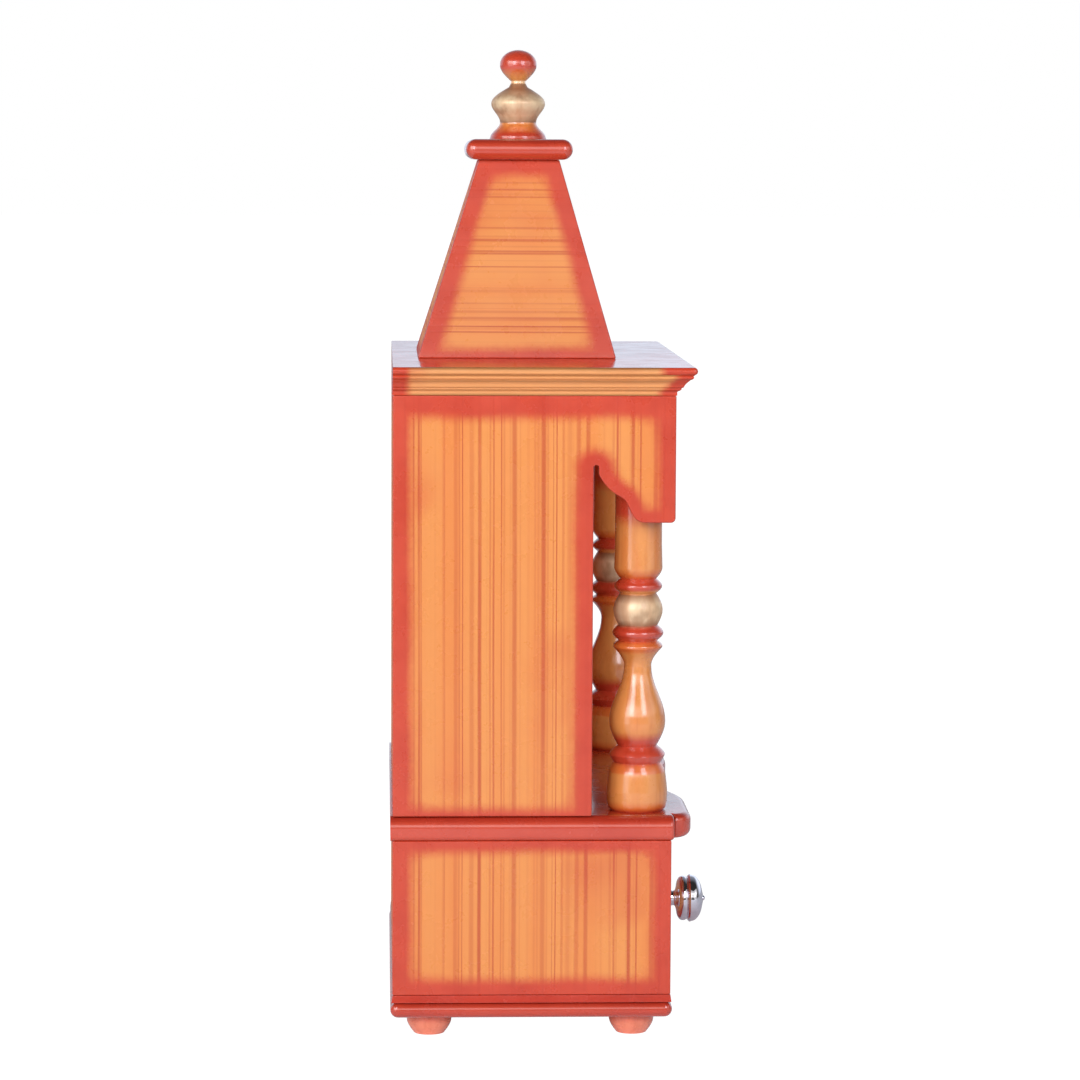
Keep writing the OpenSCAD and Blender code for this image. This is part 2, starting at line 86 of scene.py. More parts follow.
def select_only(piece):
    bpy.ops.object.select_all(action="DESELECT")
    piece.select_set(True)
    bpy.context.view_layer.objects.active = piece


def open_piece(piece, action="SELECT"):
    select_only(piece)
    bpy.ops.object.mode_set(mode="EDIT")
    bpy.ops.mesh.select_mode(type="EDGE")
    bpy.ops.mesh.select_all(action=action)


def close_piece():
    bpy.ops.object.mode_set(mode="OBJECT")


def block_between(name, low, high):
    bpy.ops.object.select_all(action="DESELECT")
    bpy.ops.mesh.primitive_cube_add(size=1, location=(low + high) / 2, scale=high - low)
    bpy.ops.object.transform_apply()
    block = bpy.context.object
    block.name = block.data.name = name
    return block


print("workbench ready; one unit is a metre, MM =", MM)

# %% [markdown]
# ## Copies
# What repeats is made once and copied, and every copy gets a mesh of its own. A mirrored twin
# comes out with its faces turned inwards, so they are flipped back. A carved outline, such as the
# side panel's, is already true in the frame. Its mesh there is loose triangles, so a copy has its
# doubles merged and its flat faces dissolved. Its edges can then be rounded like any board's.

# %% Copy a piece or a solid of the frame
MERGE_WITHIN = 0.004 * MM


def copy_of(name, original, move=Matrix.Identity(4)):
    mesh = original.data.copy()
    mesh.name = name
    twin = bpy.data.objects.new(name, mesh)
    bpy.context.collection.objects.link(twin)
    mesh.transform(move)
    return twin


def mirrored_copy(name, piece):
    twin = copy_of(name, piece, Matrix.Scale(-1, 4, (1, 0, 0)))
    twin.data.flip_normals()
    return twin


def carved_copy(name, node, flat=0.4):
    piece = copy_of(name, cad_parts[node])
    piece.data.materials.clear()
    open_piece(piece)
    bpy.ops.mesh.remove_doubles(threshold=MERGE_WITHIN)
    bpy.ops.mesh.dissolve_limited(angle_limit=math.radians(flat))
    close_piece()
    return piece


print("helpers for carved copies and mirrored twins are ready")

# %% [markdown]
# ## Edges
# No wooden edge is knife sharp: a sheet of abrasive paper takes it down by about a millimetre,
# and the lacquer rounds it further. That narrow round is what catches a thin line of light, so
# every board gets it. The edges are picked by how sharply their faces meet. A weighted normal
# keeps the broad faces flat in the light although their edges are shaded as smooth.

# %% Round the sharp edges of a piece
def ease_edges(piece, width, segments=3, sharp=30):
    open_piece(piece, "DESELECT")
    bpy.ops.mesh.edges_select_sharp(sharpness=math.radians(sharp))
    bpy.ops.mesh.bevel(offset=width, segments=segments, affect="EDGES", clamp_overlap=False)
    close_piece()


def smooth_piece(piece, angle=40):
    select_only(piece)
    bpy.ops.object.shade_smooth_by_angle(angle=math.radians(angle))
    weighted = piece.modifiers.new("flat faces", "WEIGHTED_NORMAL")
    weighted.keep_sharp = True
    bpy.ops.object.modifier_apply(modifier=weighted.name)


print("edges are rounded with a bevel of three steps")

# %% [markdown]
# ## The sprayed rim
# The red border follows every edge of a panel, also round the scallops, and a pattern on plain
# coordinates can't follow such an outline. So each board carries the distance to its own outline
# as a number on its points, called "rim". That is only as exact as the points are close, so the
# board is first cut into a fine net. The cuts lie a hair aside, so that none falls on an edge.

# %% Cut a board into a net
CUT_ASIDE = 0.013 * MM
CUT_WITHIN = 0.001 * MM


def along_axis(axis):
    return Vector([1.0 if i == axis else 0.0 for i in range(3)])


def points_of(piece):
    return np.array([v.co for v in piece.data.vertices])


def net_cuts(piece, axes, pitch):
    points = points_of(piece)
    low, high = points.min(0), points.max(0)
    open_piece(piece)
    for axis in axes:
        direction = along_axis(axis)
        length = high[axis] - low[axis]
        count = max(1, round(length / pitch))
        for i in range(1, count):
            place = direction * (low[axis] + length * i / count + CUT_ASIDE)
            bpy.ops.mesh.select_all(action="SELECT")
            bpy.ops.mesh.bisect(plane_co=place, plane_no=direction, threshold=CUT_WITHIN)
    close_piece()


print("a net is cut with planes", CUT_ASIDE / MM, "mm aside")

# %% [markdown]
# The outline is the border of a board's largest face. The distances to its long edges are blended
# with a high power, which rounds the red's corners as spray does. The short edges are steps of a
# scallop. They count as one edge, a little further away than it is, because the red is narrower
# there. A head or foot above zero moves the outline's top or bottom line outwards, which leaves
# a narrower border there, and one below zero a wider one.

# %% Measure a board's outline and the distance to it
LONG_EDGE = 20 * MM
SCALLOP_NARROWS = 1.3
LEAST_GAP = 0.02 * MM
CORNER_POWER = 6


def outline_of(piece):
    face = max(piece.data.polygons, key=lambda p: p.area)
    points = np.array([piece.data.vertices[i].co for i in face.vertices])
    return points, np.array(face.normal)


def write_rim(piece, distance):
    rim = piece.data.attributes.new("rim", "FLOAT", "POINT")
    rim.data.foreach_set("value", np.asarray(distance, dtype=np.float32))


def move_ends(outline, head, foot):
    height = outline[:, 2]
    at_head = height > height.max() - MM
    at_foot = height < height.min() + MM
    lift = np.where(at_head, head * MM, np.where(at_foot, -foot * MM, 0))
    return outline + np.outer(lift, (0, 0, 1))


def gap_to_edge(points, start, end):
    edge = end - start
    along = np.clip((points - start) @ edge / max(edge @ edge, 1e-12), 0, 1)
    return np.linalg.norm(points - start - np.outer(along, edge), axis=1)


def rim_from_outline(piece, outline, normal, head=0.0, foot=0.0):
    outline = move_ends(outline, head, foot)
    points = points_of(piece)
    points = points - np.outer((points - outline[0]) @ normal, normal)
    scallop = np.full(len(points), 1.0)
    total = np.zeros(len(points))
    for start, end in zip(outline, np.roll(outline, -1, axis=0)):
        gap = gap_to_edge(points, start, end)
        if np.linalg.norm(end - start) > LONG_EDGE:
            total += np.maximum(gap, LEAST_GAP) ** -CORNER_POWER
        else:
            scallop = np.minimum(scallop, gap * SCALLOP_NARROWS)
    total += np.maximum(scallop, LEAST_GAP) ** -CORNER_POWER
    write_rim(piece, total ** (-1 / CORNER_POWER))


print("a rim is measured from each board's largest face")

# %% [markdown]
# ## Colours of the lacquer
# Most of the shrine is a few colours: orange, the brown of its pores, sprayed red, antique gold
# with its dark glaze, and the pale wood of the drawer box. They are written as they look on a
# screen and turned into the linear values that a shader works with. The few other tints are
# named beside the finish that needs them.

# %% Colours
def to_linear(on_screen):
    share = on_screen / 255
    return share / 12.92 if share <= 0.04045 else ((share + 0.055) / 1.055) ** 2.4


def paint(red, green, blue):
    return (to_linear(red), to_linear(green), to_linear(blue), 1.0)


ORANGE = paint(234, 151, 79)
ORANGE_DEEP = paint(228, 118, 52)
GRAIN_BROWN = paint(190, 76, 40)
RED = paint(207, 72, 46)
RED_DEEP = paint(180, 46, 28)
GOLD = paint(243, 212, 170)
GOLD_DARK = paint(172, 124, 88)
PALE_WOOD = paint(214, 160, 104)
WHITE = (1, 1, 1, 1)
BLACK = (0, 0, 0, 1)

print("orange in linear light:", [round(v, 3) for v in ORANGE[:3]])

# %% [markdown]
# ## A small kit for building finishes
# A finish is a tree of nodes, and short helpers keep each tree readable. A socket is filled by its
# label, with _ for each space, or by i and its number where several share a label. A value that
# comes from another node becomes a link, and a plain number is set on the socket itself.

# %% Start a finish and add nodes to it
def start_finish(name):
    finish = bpy.data.materials.new(name)
    finish.use_nodes = True
    tree = finish.node_tree
    return finish, tree, tree.nodes["Principled BSDF"]


def fill_sockets(tree, node, **sockets):
    for key, value in sockets.items():
        by_number = key[0] == "i" and key[1:].isdigit()
        socket = node.inputs[int(key[1:]) if by_number else key.replace("_", " ")]
        if isinstance(value, bpy.types.NodeSocket):
            tree.links.new(value, socket)
        else:
            socket.default_value = value


def add_node(tree, kind, settings=None, **sockets):
    node = tree.nodes.new(kind)
    for key, value in (settings or {}).items():
        setattr(node, key, value)
    fill_sockets(tree, node, **sockets)
    return node


print("node kit ready")

# %% [markdown]
# Every pattern is made of the same few steps: noise that is stretched along the board, a slow
# wander to either side of zero, a soft step from one value to another, and a mix of two paints.
# Object coordinates are used throughout, because every piece sits at the origin.

# %% Patterns, sums and mixes
def place_on_piece(tree):
    return add_node(tree, "ShaderNodeTexCoord").outputs["Object"]


def parts_of(tree, vector):
    return add_node(tree, "ShaderNodeSeparateXYZ", Vector=vector).outputs


def stretched_noise(tree, stretch, detail=2.0, roughness=0.5, shift=(0, 0, 0)):
    if isinstance(stretch, (int, float)):
        stretch = (stretch, stretch, stretch)
    mapping = add_node(tree, "ShaderNodeMapping", Vector=place_on_piece(tree), Scale=stretch,
                       Location=shift)
    noise = add_node(tree, "ShaderNodeTexNoise", Vector=mapping.outputs["Vector"], Scale=1.0,
                     Detail=detail, Roughness=roughness)
    return noise.outputs["Fac"]


def soft_step(tree, value, start, end, low=0.0, high=1.0):
    step = add_node(tree, "ShaderNodeMapRange", {"interpolation_type": "SMOOTHSTEP"}, Value=value,
                    From_Min=start, From_Max=end, To_Min=low, To_Max=high)
    return step.outputs["Result"]


def calculate(tree, operation, a, b):
    return add_node(tree, "ShaderNodeMath", {"operation": operation}, i0=a, i1=b).outputs["Value"]


def plus(tree, a, b):
    return calculate(tree, "ADD", a, b)


def times(tree, a, b):
    return calculate(tree, "MULTIPLY", a, b)


def wander(tree, stretch, reach, detail=2.0):
    centred = calculate(tree, "SUBTRACT", stretched_noise(tree, stretch, detail), 0.5)
    return times(tree, centred, reach)


def mix_paint(tree, amount, a, b, blend="MIX"):
    settings = {"data_type": "RGBA", "blend_type": blend}
    return add_node(tree, "ShaderNodeMix", settings, i0=amount, i6=a, i7=b).outputs[2]


print("patterns ready")

# %% [markdown]
# ## Veneer
# The panels are veneered board. Three things make the veneer: dark pore lines that run the whole
# length, broad soft bands, and a very fine fibre. Stretched noise alone would give smears, so the
# pore lines are points scattered along one coordinate. Each is a line at a chance distance from
# the next, with a strength and a width of its own, and a slow wobble keeps it from looking ruled.

# %% Grain of the veneer
PORE_WOBBLE = 4 * MM
PORE_NARROWEST, PORE_WIDEST = 0.45, 1.3
AWAY_FROM_ZERO = 3.0
STRONG_PORES, FINE_PORES = 105, 260
PORES_SHOW = 0.86
FIBRE_SHOWS = 0.14


def drawn_out(along, fine, lengthwise):
    return tuple(lengthwise if axis == along else fine for axis in range(3))


def pore_lines(tree, along, per_metre, half_width, weakest):
    parts = parts_of(tree, place_on_piece(tree))
    across = parts["Z"] if along != 2 else plus(tree, parts["X"], parts["Y"])
    wobble = wander(tree, drawn_out(along, 9.0, 2.0), PORE_WOBBLE)
    across = plus(tree, plus(tree, across, wobble), AWAY_FROM_ZERO)
    lines = add_node(tree, "ShaderNodeTexVoronoi", {"voronoi_dimensions": "1D"}, W=across,
                     Scale=per_metre)
    chance = add_node(tree, "ShaderNodeSeparateColor", Color=lines.outputs["Color"]).outputs
    width = add_node(tree, "ShaderNodeMapRange", Value=chance["Green"],
                     To_Min=half_width * PORE_NARROWEST, To_Max=half_width * PORE_WIDEST)
    width = times(tree, width.outputs["Result"], per_metre)
    nearness = calculate(tree, "DIVIDE", lines.outputs["Distance"], width)
    strength = soft_step(tree, chance["Red"], 0.1, 0.9, weakest, 1.0)
    return times(tree, soft_step(tree, nearness, 1.0, 0.25), strength)


def veneer_grain(tree, along):
    strong_width = 1.9 * MM if along == 2 else 1.2 * MM
    strong = pore_lines(tree, along, STRONG_PORES, strong_width, 0.35)
    fine = pore_lines(tree, along, FINE_PORES, 1.0 * MM, 0.15)
    crowd = stretched_noise(tree, drawn_out(along, 70, 0.3), detail=1, shift=(4, 1, 8))
    fine = times(tree, fine, soft_step(tree, crowd, 0.42, 0.6, 0.3, 1))
    fading = stretched_noise(tree, drawn_out(along, 120, 7), detail=3, shift=(9, 2, 5))
    fading = soft_step(tree, fading, 0.3, 0.6, 0.6, 1)
    lines = times(tree, calculate(tree, "MAXIMUM", strong, fine), fading)
    bands = stretched_noise(tree, drawn_out(along, 42, 0.5), detail=2.5, shift=(0.3, 7.2, 1.0))
    fibre = stretched_noise(tree, drawn_out(along, 1500, 26), detail=3, roughness=0.7)
    return lines, bands, fibre


def veneer_colour(tree, lines, bands, fibre):
    colour = mix_paint(tree, soft_step(tree, bands, 0.35, 0.7, 0, 0.45), ORANGE, ORANGE_DEEP)
    colour = mix_paint(tree, times(tree, fibre, FIBRE_SHOWS), colour, GRAIN_BROWN)
    return mix_paint(tree, times(tree, lines, PORES_SHOW), colour, GRAIN_BROWN)


print("pore lines to a metre of width:", STRONG_PORES, "strong and", FINE_PORES, "fine")

# %% [markdown]
# ## Red spray over the veneer
# The red is a second layer on top of the orange. Its strength falls with the "rim" distance. A
# slow drift bends the border, a fine mist breaks it up, and here and there some stray spray
# reaches further in. The pore lines stay faintly visible through the red, as under real lacquer.

# %% Red spray
RED_SOLID_TO = 6.8
RED_GONE_AT = 16.2
SPRAY_DRIFT = 4.5 * MM
SPRAY_MIST = 2.4 * MM
STRAY_FAR, STRAY_NEAR = 60 * MM, 12 * MM


def sprayed_red(tree, colour, lines, solid=RED_SOLID_TO, gone=RED_GONE_AT):
    rim = add_node(tree, "ShaderNodeAttribute", {"attribute_name": "rim"}).outputs["Fac"]
    rim = plus(tree, rim, wander(tree, 24, SPRAY_DRIFT))
    rim = plus(tree, rim, wander(tree, 420, SPRAY_MIST, detail=3))
    amount = soft_step(tree, rim, gone * MM, solid * MM)
    stray = stretched_noise(tree, 11, shift=(3, 5, 1))
    stray = soft_step(tree, stray, 0.5, 0.7, 0, 0.45)
    stray = times(tree, stray, soft_step(tree, rim, STRAY_FAR, STRAY_NEAR))
    amount = calculate(tree, "MAXIMUM", amount, stray)
    depth = soft_step(tree, stretched_noise(tree, 60, detail=3), 0.3, 0.75)
    red = mix_paint(tree, times(tree, depth, 0.35), RED, RED_DEEP)
    red = mix_paint(tree, times(tree, lines, 0.16), red, RED_DEEP)
    return mix_paint(tree, amount, colour, red)


print("red is solid to", RED_SOLID_TO, "mm from an edge and gone at", RED_GONE_AT, "mm")

# %% [markdown]
# ## The coat of lacquer
# Lacquer lies over the colour as a layer of its own, so it is the shader's clear coat. Up close it
# has a slight waviness, called orange peel, which is a weak bump, and its gloss isn't even. A
# heavy coat also bends light a little more. The back boards get only a thin dull one.

# %% Lacquer and the veneer finishes
PEEL_SIZE = 330
PEEL_HEIGHT = 0.45
RELIEF_DEPTH = 0.35 * MM
SATIN = (0.24, 0.34)
DULL = (0.55, 0.7)


def lacquer_surface(tree, shader, relief, roughness=SATIN, coat=0.35, coat_roughness=0.08,
                    height=0.09):
    gloss = stretched_noise(tree, 38, detail=4, roughness=0.65)
    peel = times(tree, stretched_noise(tree, PEEL_SIZE, detail=1.5), PEEL_HEIGHT)
    bump = add_node(tree, "ShaderNodeBump", Strength=height, Distance=RELIEF_DEPTH,
                    Height=plus(tree, peel, relief))
    fill_sockets(tree, shader, Roughness=soft_step(tree, gloss, 0.3, 0.7, *roughness),
                 Normal=bump.outputs["Normal"], Coat_Weight=coat, Coat_Roughness=coat_roughness,
                 IOR=1.5, Coat_IOR=1.5 if coat < 0.5 else 1.65)


def veneer_finish(name, along, roughness=SATIN, coat=0.35):
    finish, tree, shader = start_finish(name)
    lines, bands, fibre = veneer_grain(tree, along)
    colour = sprayed_red(tree, veneer_colour(tree, lines, bands, fibre), lines)
    fill_sockets(tree, shader, Base_Color=colour)
    relief = calculate(tree, "SUBTRACT", times(tree, fibre, 0.3), lines)
    lacquer_surface(tree, shader, relief, roughness, coat)
    return finish


veneer_upright = veneer_finish("veneer_upright", along=2)
veneer_level = veneer_finish("veneer_level", along=1)
veneer_wide = veneer_finish("veneer_wide", along=0)
thin_upright = veneer_finish("thin_coat_upright", along=2, roughness=DULL, coat=0.0)
thin_wide = veneer_finish("thin_coat_wide", along=0, roughness=DULL, coat=0.0)
print("veneer finishes:", veneer_upright.name, veneer_level.name, veneer_wide.name)
print("thin coats:", thin_upright.name, thin_wide.name)

# %% [markdown]
# ## Crown with glaze and painted shade in its grooves
# The crown and the edge of the cornice board above it are one run of moulding to the eye. A ramp
# over the height darkens the grooves and lightens the beads: partly dark glaze that stays in the
# grooves and is wiped off the beads, partly painted shade in the grooves and painted highlight on
# the beads. Each stop is a height in millimetres above the foot of the crown, with how light the
# tone is there.

# %% Crown finish
CROWN_TAN = paint(255, 186, 122)
GLAZE_AND_SHADE_HEIGHT = 18 * MM
GLAZE_AND_SHADE_TONES = ((0, 176), (0.5, 186), (1.5, 236), (2.5, 250), (3.5, 218), (5, 240), (6.6, 255),
               (8, 240), (8.9, 200), (9.8, 240), (10.7, 255), (11.6, 236), (12.3, 200),
               (13.4, 226), (14.6, 250), (16.2, 205), (17.4, 160))


def height_above(tree, foot):
    return calculate(tree, "SUBTRACT", parts_of(tree, place_on_piece(tree))["Z"], foot)


def ramp_of(tree, height, length, stops):
    ramp = add_node(tree, "ShaderNodeValToRGB", Fac=calculate(tree, "DIVIDE", height, length))
    points = ramp.color_ramp.elements
    while len(points) > 1:
        points.remove(points[-1])
    points[0].position = max(0.0, stops[0][0] * MM / length)
    points[0].color = stops[0][1]
    for at, colour in stops[1:]:
        points.new(min(1.0, at * MM / length)).color = colour
    return ramp.outputs["Color"]


def crown_finish(name, along):
    finish, tree, shader = start_finish(name)
    lines, bands, fibre = veneer_grain(tree, along)
    wood = veneer_colour(tree, times(tree, lines, 0.4), bands, fibre)
    wood = mix_paint(tree, 0.7, wood, CROWN_TAN)
    height = height_above(tree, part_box("crown_left")[0].z)
    height = plus(tree, height, wander(tree, 22, 1.1 * MM))
    # Darker grooves and lighter beads: glaze together with painted shade and painted highlight.
    tones = [(at, paint(tone, tone * 0.97, tone * 0.93)) for at, tone in GLAZE_AND_SHADE_TONES]
    wood = mix_paint(tree, 1.0, wood, ramp_of(tree, height, GLAZE_AND_SHADE_HEIGHT, tones), "MULTIPLY")
    fill_sockets(tree, shader, Base_Color=sprayed_red(tree, wood, lines, solid=6.0, gone=14.0))
    lacquer_surface(tree, shader, times(tree, fibre, 0.1), (0.08, 0.16), coat=0.0,
                    coat_roughness=0.05, height=0.02)
    return finish


crown_long = crown_finish("crown_long", along=1)
crown_wide = crown_finish("crown_wide", along=0)
print("crown finishes:", crown_long.name, crown_wide.name)

# %% [markdown]
# ## Solid red lacquer
# The base, the deck and the cap are sprayed red all over. Up close the coat isn't even: the long
# grain of the wood below shows as faint streaks, and it is thicker in cloudy places. Faces that
# look up are painted darker, a painted shade for the little light that falls from above. The
# deeper red is for the strip between base and box, a painted shade for its recess under the box.
# The deck is polished flatter, so it mirrors what stands on it.

# %% Red lacquer
# The fillet's deeper reds are painted shade for its recess between base and box.
RECESS_SHADE_RED = paint(200, 56, 34)
RECESS_SHADE_RED_DEEP = paint(168, 40, 24)
# The tone that darkens faces that look up, as painted shade.
TOP_SHADE_TONE = (0.60, 0.42, 0.45, 1)


def red_finish(name, light, deep, along=1, coat=0.75, coat_roughness=0.05, height=0.015):
    finish, tree, shader = start_finish(name)
    streaks = stretched_noise(tree, drawn_out(along, 90.0, 3.0), detail=3, roughness=0.6)
    cloud = stretched_noise(tree, 26, detail=3)
    colour = mix_paint(tree, soft_step(tree, streaks, 0.35, 0.7, 0, 0.4), light, deep)
    colour = mix_paint(tree, soft_step(tree, cloud, 0.4, 0.75, 0, 0.35), colour, deep)
    # Painted shade: faces that look up are multiplied darker, as little light falls on them from
    # above.
    upward = parts_of(tree, add_node(tree, "ShaderNodeNewGeometry").outputs["Normal"])["Z"]
    painted_top_shade = soft_step(tree, upward, 0.3, 0.8, 0, 0.7)
    colour = mix_paint(tree, painted_top_shade, colour, TOP_SHADE_TONE, "MULTIPLY")
    fill_sockets(tree, shader, Base_Color=colour)
    lacquer_surface(tree, shader, times(tree, streaks, 0.1), (0.2, 0.3), coat, coat_roughness, height)
    return finish


red_lacquer = red_finish("red_lacquer", RED, RED_DEEP)
red_lacquer_shaded = red_finish("red_lacquer_shaded", RECESS_SHADE_RED, RECESS_SHADE_RED_DEEP)
red_lacquer_deck = red_finish("red_lacquer_deck", RED, RED_DEEP, coat=0.65, coat_roughness=0.09,
                              height=0.004)
print("red finishes:", red_lacquer.name, red_lacquer_shaded.name, red_lacquer_deck.name)

# %% [markdown]
# ## Turned wood in bands
# A turner sprays a pillar while it spins, so its colours are rings: red on the rings, orange on
# the vase and the shaft, antique gold on the ball. A colour ramp over the height does the same.
# Each stop is a height above the foot of the piece, so the ramp can be read like a drawing. A
# second ramp says where the gold paint is, since only that paint is metallic and it has less
# varnish. Its tone is uneven, because it is rubbed back so that dark glaze stays in the hollows.

# %% A finish with rings of colour
RING_WANDER = 1.6 * MM
GOLD_BLUR = 0.2
GOLD_METALLIC = 0.3
GOLD_ROUGHNESS = 0.46
VARNISH, VARNISH_ON_GOLD = 0.9, 0.2
GRAIN_TONE = (0.74, 0.50, 0.36, 1)
CLOUD_TONE = (0.93, 0.72, 0.66, 1)


def ramp_over_height(tree, foot, length, stops):
    height = plus(tree, height_above(tree, foot), wander(tree, (70, 70, 20), RING_WANDER))
    return ramp_of(tree, height, length, stops)


def gold_marks(gold_rings):
    marks = [(0, BLACK)]
    for start, end in gold_rings:
        marks += [(start - GOLD_BLUR, BLACK), (start + GOLD_BLUR, WHITE)]
        marks += [(end - GOLD_BLUR, WHITE), (end + GOLD_BLUR, BLACK)]
    return marks


def turned_finish(name, foot, length, stops, gold_rings):
    finish, tree, shader = start_finish(name)
    grain = stretched_noise(tree, (150, 150, 9), detail=3, roughness=0.6)
    cloud = stretched_noise(tree, (70, 70, 28))
    shade = ramp_over_height(tree, foot, length, stops)
    shade = mix_paint(tree, soft_step(tree, grain, 0.4, 0.7, 0, 0.45), shade, GRAIN_TONE, "MULTIPLY")
    shade = mix_paint(tree, soft_step(tree, cloud, 0.45, 0.7, 0, 0.5), shade, CLOUD_TONE, "MULTIPLY")
    is_gold = ramp_over_height(tree, foot, length, gold_marks(gold_rings))
    worn = stretched_noise(tree, (90, 90, 60), detail=3, shift=(2, 8, 6))
    worn = times(tree, soft_step(tree, worn, 0.46, 0.66, 0, 0.55), is_gold)
    shade = mix_paint(tree, worn, shade, GOLD_DARK)
    lacquer_surface(tree, shader, times(tree, grain, 0.2), SATIN, VARNISH, 0.13, 0.04)
    gloss = shader.inputs["Roughness"].links[0].from_socket
    satin = add_node(tree, "ShaderNodeMix", {"data_type": "FLOAT"}, i0=is_gold, i2=gloss,
                     i3=GOLD_ROUGHNESS)
    varnish = soft_step(tree, is_gold, 0.0, 1.0, VARNISH, VARNISH_ON_GOLD)
    fill_sockets(tree, shader, Base_Color=shade, Metallic=times(tree, is_gold, GOLD_METALLIC),
                 Roughness=satin.outputs[0], Coat_Weight=varnish)
    return finish


print("a turned finish reads its rings from a list of heights")

# %% [markdown]
# ## Chrome and plain wood
# The knob is bright plated metal, so nearly all of its look is what it reflects. Only a trace of
# uneven polish keeps it from looking like a mirror from a catalogue. The drawer box and its
# guides are plain planed wood, which nobody sprays because nobody sees it.

# %% Chrome and plain wood
BRIGHT_CHROME = (0.90, 0.88, 0.95, 1)
SMEARED_CHROME = (0.78, 0.75, 0.82, 1)
PALE_WOOD_DEEP = paint(178, 120, 70)


def chrome_finish(name):
    finish, tree, shader = start_finish(name)
    smear = stretched_noise(tree, 220, detail=4, roughness=0.7)
    tint = mix_paint(tree, soft_step(tree, smear, 0.3, 0.8), BRIGHT_CHROME, SMEARED_CHROME)
    bump = add_node(tree, "ShaderNodeBump", Strength=0.03, Distance=0.1 * MM, Height=smear)
    fill_sockets(tree, shader, Base_Color=tint, Metallic=1.0, Normal=bump.outputs["Normal"],
                 Roughness=soft_step(tree, smear, 0.35, 0.8, 0.05, 0.13))
    return finish


def plain_wood_finish(name, along):
    finish, tree, shader = start_finish(name)
    lines, bands, fibre = veneer_grain(tree, along)
    colour = mix_paint(tree, soft_step(tree, bands, 0.3, 0.7, 0, 0.5), PALE_WOOD, PALE_WOOD_DEEP)
    colour = mix_paint(tree, times(tree, fibre, 0.25), colour, GRAIN_BROWN)
    colour = mix_paint(tree, times(tree, lines, 0.5), colour, GRAIN_BROWN)
    fill_sockets(tree, shader, Base_Color=colour)
    lacquer_surface(tree, shader, times(tree, fibre, 0.8), (0.5, 0.7), coat=0.0,
                    coat_roughness=0.3, height=0.2)
    return finish


knob_chrome = chrome_finish("knob_chrome")
plain_wood = plain_wood_finish("plain_wood", along=1)
print("metal and wood:", knob_chrome.name, plain_wood.name)

# %% [markdown]
# ## Straight boards
# The sides of the lower box, the back panels, the rail, the ceiling and the drawer front are
# plain boards. Each starts as a block at its solid's place, gets its eased edges, is cut into the
# net across its two long directions, and then has its rim measured.

# %% A board from its solid
EASED = 0.8
NET_PITCH = 6.0


def finish_piece(piece, material, node, body="shrine"):
    piece.data.materials.clear()
    piece.data.materials.append(material)
    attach(piece, body)
    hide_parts(node)


def finish_both_sides(left, material, node):
    right = mirrored_copy(left.name.replace("left", "right"), left)
    finish_piece(left, material, node)
    finish_piece(right, material, node.replace("left", "right"))


def board(node, ease=EASED, pitch=NET_PITCH, head=0.0, foot=0.0, name=None):
    low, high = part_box(node)
    piece = block_between(name or node + "_board", low, high)
    outline, normal = outline_of(piece)
    ease_edges(piece, ease * MM)
    if pitch:
        thin = min(range(3), key=lambda axis: high[axis] - low[axis])
        net_cuts(piece, [axis for axis in range(3) if axis != thin], pitch * MM)
    rim_from_outline(piece, outline, normal, head, foot)
    smooth_piece(piece)
    return piece


print("a board's edges are eased by", EASED, "mm and its net has", NET_PITCH, "mm meshes")

# %% [markdown]
# The side of the lower box is made once and mirrored. Its red is narrower along its head and its
# foot than along its two sides. The boards at the back, the rail and the ceiling make do with a
# wider net.

# %% Panels of the lower box and the chamber
WIDE_PITCH = 8.0

box_side_left = board("box_side_left", head=3.7, foot=1.2)
finish_both_sides(box_side_left, veneer_upright, "box_side_left")
for node, material in (("box_back", thin_upright), ("box_rail", veneer_wide),
                       ("back_panel", thin_upright), ("ceiling_board", veneer_wide)):
    panel = board(node, pitch=WIDE_PITCH)
    finish_piece(panel, material, node)
drawer_face = board("drawer_front", ease=1.2, name="drawer_face")
finish_piece(drawer_face, veneer_wide, "drawer_front", "drawer")
print("box side has", len(box_side_left.data.polygons), "faces")

# %% [markdown]
# The drawer box is four thin boards behind the face, and it runs between two guides that are fixed
# to the shrine. They carry no red, so they need no net.

# %% Drawer box and guides
DRAWER_EASED = 0.5

drawer_boards = [(node, "drawer") for node in ("drawer_side_left", "drawer_side_right",
                                               "drawer_back", "drawer_bottom")]
guides = [(node, "shrine") for node in ("drawer_guide_left", "drawer_guide_right")]
for node, body in drawer_boards + guides:
    strip = board(node, ease=DRAWER_EASED, pitch=0)
    finish_piece(strip, plain_wood, node, body)
print("drawer box made of", len(drawer_boards), "boards on", len(guides), "guides")

# %% [markdown]
# ## Scalloped boards
# The side panels end above in a scalloped apron, with a narrow saw slot at its head, and the
# arch board in front has the same scallops on both sides of a flat head. A fretsaw cuts such an
# outline, and the edge is then rounded by hand, so the carved copy gets a wider round than the
# straight boards. One side is made and mirrored. Its red is wider at its head than at its foot.

# %% Side panels and front arch
CARVED_PITCH = 5.0
PANEL_EASED = 1.0
ARCH_EASED = 1.4


def carved_board(node, ease, axes, head=0.0, foot=0.0):
    piece = carved_copy(node + "_board", node)
    outline, normal = outline_of(piece)
    ease_edges(piece, ease * MM, sharp=50)
    net_cuts(piece, axes, CARVED_PITCH * MM)
    rim_from_outline(piece, outline, normal, head, foot)
    smooth_piece(piece)
    return piece


